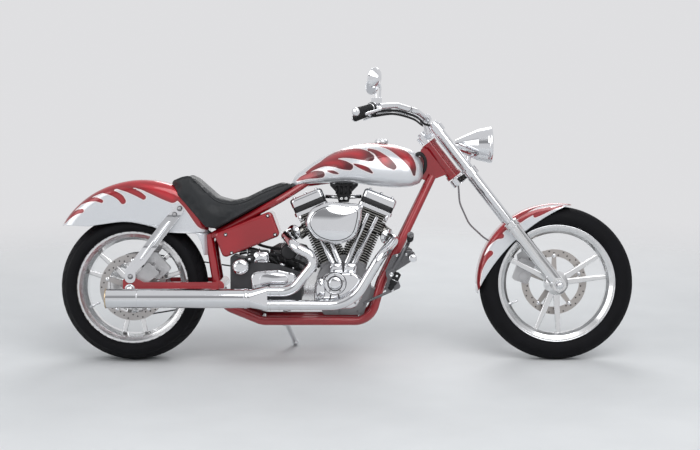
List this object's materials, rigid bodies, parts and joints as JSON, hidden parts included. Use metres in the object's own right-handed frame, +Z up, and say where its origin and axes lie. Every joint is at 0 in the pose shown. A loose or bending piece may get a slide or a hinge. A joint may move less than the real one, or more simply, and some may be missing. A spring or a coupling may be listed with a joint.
{
  "type": "motorcycle",
  "caption": "Long-forked chopper motorcycle with a finned V-twin engine, twin-spoke wheels and flame paint, parked on its side stand; wheels, steering and stand move",
  "frame": {"origin": "middle of the bottom of the parked bike's box, on the ground", "axes": "+X forward, +Y to the rider's left, +Z up; the bike leans 7 degrees to its left, on its side stand"},
  "size_m": [2.5335, 0.8992, 1.308],
  "materials": {
    "chrome": "bright chrome",
    "rubber": "black rubber",
    "engine_cast": "cast, satin",
    "polished": "polished",
    "frame_red": "gloss red enamel",
    "silver_paint": "gloss silver with red flames",
    "steel": "brushed",
    "tyre": "black rubber",
    "lens": "clear, fluted",
    "leather": "smooth black leather"
  },
  "bodies": {
    "chassis": {"air_cleaner": "chrome", "carburetor": "engine_cast", "crankcase": "engine_cast", "cylinders": "engine_cast", "drive_belt": "rubber", "engine_covers": "chrome", "exhaust_pipes": "chrome", "fender_struts": "chrome", "foot_controls": "chrome", "foot_pegs": "rubber", "frame_backbone": "frame_red", "frame_cradle_left": "frame_red", "frame_cradle_right": "frame_red", "frame_crossbars": "frame_red", "fuel_cap": "chrome", "fuel_tank": "silver_paint", "muffler": "chrome", "oil_tank": "frame_red", "primary_cover": "chrome", "pushrod_tubes": "chrome", "rear_axle": "chrome", "rear_caliper": "chrome", "rear_fender": "silver_paint", "rocker_boxes": "chrome", "seat": "leather", "side_stand_bracket": "chrome", "swingarm": "frame_red", "transmission": "engine_cast"},
    "steering": {"triple_clamps": "polished", "fork_tubes": "chrome", "fork_legs": "polished", "front_axle": "chrome", "handlebar": "chrome", "grips": "rubber", "hand_controls": "chrome", "mirrors": "chrome", "headlamp_shell": "chrome", "headlamp_lens": "lens", "front_fender": "silver_paint", "front_caliper": "chrome", "brake_hose": "rubber"},
    "front_wheel": {"front_tyre": "tyre", "front_rim": "polished", "front_rotor": "steel"},
    "rear_wheel": {"rear_tyre": "tyre", "rear_rim": "polished", "rear_rotor": "steel", "rear_pulley": "polished"},
    "stand": {"side_stand": "chrome"}
  },
  "joints": [
    {"name": "steering", "type": "hinge", "parent": "chassis", "child": "steering", "pos_m": [0.41813, -0.02447, 0.88148], "axis": [-0.6157, 0.096, 0.7821], "range_deg": [-30, 30]},
    {"name": "front_wheel_spin", "type": "hinge", "parent": "steering", "child": "front_wheel", "pos_m": [0.92723, -0.09121, 0.3379], "axis": [0, 0.9925, -0.1219], "continuous": true},
    {"name": "rear_wheel_spin", "type": "hinge", "parent": "chassis", "child": "rear_wheel", "pos_m": [-0.94277, -0.09297, 0.32355], "axis": [0, 0.9925, -0.1219], "continuous": true},
    {"name": "side_stand_fold", "type": "hinge", "parent": "chassis", "child": "stand", "pos_m": [-0.28277, 0.04362, 0.13955], "axis": [0.1457, 0.8023, 0.5789], "range_deg": [0, 101.1]}
  ]
}
